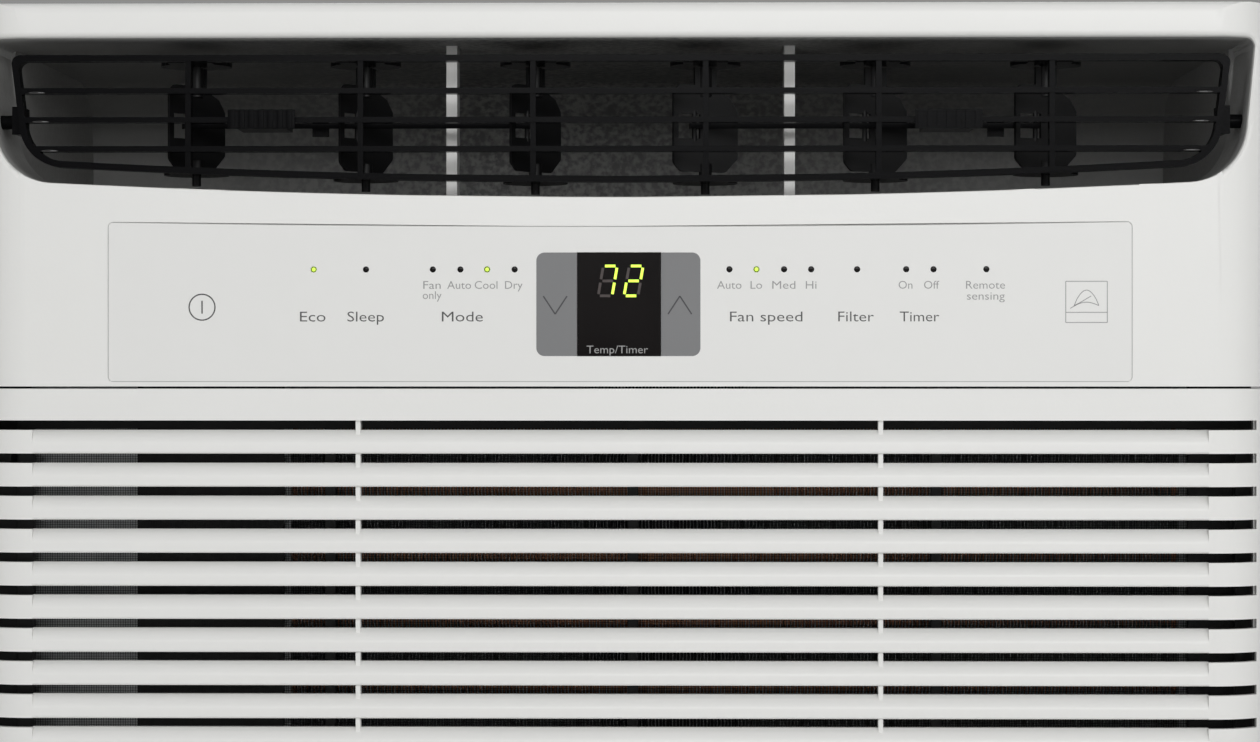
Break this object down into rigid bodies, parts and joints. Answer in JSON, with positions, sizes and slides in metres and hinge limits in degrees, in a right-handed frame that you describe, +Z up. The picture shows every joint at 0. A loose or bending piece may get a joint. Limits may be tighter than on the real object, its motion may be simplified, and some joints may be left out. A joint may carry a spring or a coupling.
{
  "type": "window air conditioner",
  "caption": "Boxy room cooler for a window: slotted intake front, swinging louvre and vanes above a touch strip, and a steel case with cooling and condenser coils.",
  "frame": {"origin": "centre of the footprint, on the surface the base pan stands on", "axes": "+Z up; the room-side front faces -Y; +X is to the right of a viewer who looks at the front"},
  "size_m": [0.47, 0.546, 0.368],
  "materials": {
    "white_plastic": "fine satin",
    "overlay_film": "satin film",
    "gloss_black": "gloss",
    "dark_grey_plastic": "mottled satin",
    "black_plastic": "matte",
    "smoked_window": "gloss",
    "green_board": "solder mask",
    "filter_net": "woven",
    "fin_aluminium": "bare",
    "copper": "bare",
    "zinc_steel": "galvanised",
    "foam_white": "moulded foam",
    "white_steel": "powder coat",
    "black_steel": "gloss paint",
    "motor_steel": "satin",
    "rubber": "matte",
    "capacitor_can": "satin"
  },
  "bodies": {
    "case": {"front_bezel": "white_plastic", "intake_grille": "white_plastic", "front_frame": "black_plastic", "discharge_duct": "dark_grey_plastic", "control_overlay": "overlay_film", "display_window": "smoked_window", "display_module": "black_plastic", "led_lenses": "smoked_window", "control_pcb": "green_board", "evap_fins": "fin_aluminium", "evap_tubes": "copper", "evap_plates": "zinc_steel", "drain_pan": "foam_white", "temp_sensor": "black_plastic", "control_box": "zinc_steel", "box_cover": "zinc_steel", "capacitor": "capacitor_can", "blower_scroll": "black_plastic", "fan_motor": "motor_steel", "motor_bracket": "zinc_steel", "bulkhead": "zinc_steel", "condenser_shroud": "black_plastic", "cond_fins": "fin_aluminium", "cond_tubes": "copper", "cond_plates": "zinc_steel", "compressor": "black_steel", "accumulator": "black_steel", "comp_mounts": "rubber", "suction_line": "copper", "discharge_line": "copper", "liquid_line": "copper", "base_pan": "zinc_steel", "cabinet": "white_steel", "rear_guard": "black_steel", "cord_gland": "rubber", "cabinet_screws": "zinc_steel", "drain_plug": "rubber"},
    "louver": {"louver_frame": "gloss_black"},
    "vane_1": {"vane_1": "gloss_black"},
    "vane_2": {"vane_2": "gloss_black"},
    "vane_3": {"vane_3": "gloss_black"},
    "vane_4": {"vane_4": "gloss_black"},
    "vane_5": {"vane_5": "gloss_black"},
    "vane_6": {"vane_6": "gloss_black"},
    "link_left": {"link_left": "gloss_black"},
    "link_right": {"link_right": "gloss_black"},
    "filter": {"filter_frame": "black_plastic", "filter_mesh": "filter_net"},
    "rotor": {"fan_shaft": "zinc_steel", "blower_wheel": "black_plastic", "condenser_fan": "black_plastic"},
    "key_power": {"key_power": "white_plastic"},
    "key_eco": {"key_eco": "white_plastic"},
    "key_sleep": {"key_sleep": "white_plastic"},
    "key_mode": {"key_mode": "white_plastic"},
    "key_down": {"key_down": "white_plastic"},
    "key_up": {"key_up": "white_plastic"},
    "key_fan": {"key_fan": "white_plastic"},
    "key_filter": {"key_filter": "white_plastic"},
    "key_timer": {"key_timer": "white_plastic"}
  },
  "joints": [
    {"name": "louver_tilt", "type": "hinge", "parent": "case", "child": "louver", "pos_m": [0, -0.255, 0.3266], "axis": [1, 0, 0], "range_deg": [-16, 16]},
    {"name": "vane_1_turn", "type": "hinge", "parent": "louver", "child": "vane_1", "pos_m": [-0.1545, -0.2455, 0.3266], "axis": [0, 0, 1], "range_deg": [-22, 102]},
    {"name": "vane_2_turn", "type": "hinge", "parent": "louver", "child": "vane_2", "pos_m": [-0.0927, -0.2455, 0.3266], "axis": [0, 0, 1], "range_deg": [-22, 102]},
    {"name": "vane_3_turn", "type": "hinge", "parent": "louver", "child": "vane_3", "pos_m": [-0.0309, -0.2455, 0.3266], "axis": [0, 0, 1], "range_deg": [-22, 102]},
    {"name": "vane_4_turn", "type": "hinge", "parent": "louver", "child": "vane_4", "pos_m": [0.0309, -0.2455, 0.3266], "axis": [0, 0, 1], "range_deg": [0, 124]},
    {"name": "vane_5_turn", "type": "hinge", "parent": "louver", "child": "vane_5", "pos_m": [0.0927, -0.2455, 0.3266], "axis": [0, 0, 1], "range_deg": [0, 124]},
    {"name": "vane_6_turn", "type": "hinge", "parent": "louver", "child": "vane_6", "pos_m": [0.1545, -0.2455, 0.3266], "axis": [0, 0, 1], "range_deg": [0, 124]},
    {"name": "link_left_pivot", "type": "hinge", "parent": "vane_1", "child": "link_left", "pos_m": [-0.15739, -0.24895, 0.3256], "axis": [0, 0, 1], "range_deg": [-102, 22]},
    {"name": "link_right_pivot", "type": "hinge", "parent": "vane_4", "child": "link_right", "pos_m": [0.02693, -0.24761, 0.3256], "axis": [0, 0, 1], "range_deg": [-124, 0]},
    {"name": "filter_slide", "type": "slide", "parent": "case", "child": "filter", "axis": [1, 0, 0], "range_m": [0, 0.4]},
    {"name": "fan_spin", "type": "hinge", "parent": "case", "child": "rotor", "pos_m": [0.04205, 0, 0.1748], "axis": [0, 1, 0], "continuous": true},
    {"name": "key_power_press", "type": "slide", "parent": "case", "child": "key_power", "axis": [0, 1, 0], "range_m": [0, 0.0004], "stiffness_N_per_m": 1500},
    {"name": "key_eco_press", "type": "slide", "parent": "case", "child": "key_eco", "axis": [0, 1, 0], "range_m": [0, 0.0004], "stiffness_N_per_m": 1500},
    {"name": "key_sleep_press", "type": "slide", "parent": "case", "child": "key_sleep", "axis": [0, 1, 0], "range_m": [0, 0.0004], "stiffness_N_per_m": 1500},
    {"name": "key_mode_press", "type": "slide", "parent": "case", "child": "key_mode", "axis": [0, 1, 0], "range_m": [0, 0.0004], "stiffness_N_per_m": 1500},
    {"name": "key_down_press", "type": "slide", "parent": "case", "child": "key_down", "axis": [0, 1, 0], "range_m": [0, 0.0004], "stiffness_N_per_m": 1500},
    {"name": "key_up_press", "type": "slide", "parent": "case", "child": "key_up", "axis": [0, 1, 0], "range_m": [0, 0.0004], "stiffness_N_per_m": 1500},
    {"name": "key_fan_press", "type": "slide", "parent": "case", "child": "key_fan", "axis": [0, 1, 0], "range_m": [0, 0.0004], "stiffness_N_per_m": 1500},
    {"name": "key_filter_press", "type": "slide", "parent": "case", "child": "key_filter", "axis": [0, 1, 0], "range_m": [0, 0.0004], "stiffness_N_per_m": 1500},
    {"name": "key_timer_press", "type": "slide", "parent": "case", "child": "key_timer", "axis": [0, 1, 0], "range_m": [0, 0.0004], "stiffness_N_per_m": 1500}
  ],
  "couplings": [
    {"joint": "vane_2_turn", "follows": "vane_1_turn", "ratio": 1},
    {"joint": "vane_3_turn", "follows": "vane_1_turn", "ratio": 1},
    {"joint": "vane_5_turn", "follows": "vane_4_turn", "ratio": 1},
    {"joint": "vane_6_turn", "follows": "vane_4_turn", "ratio": 1},
    {"joint": "link_left_pivot", "follows": "vane_1_turn", "ratio": -1},
    {"joint": "link_right_pivot", "follows": "vane_4_turn", "ratio": -1}
  ]
}
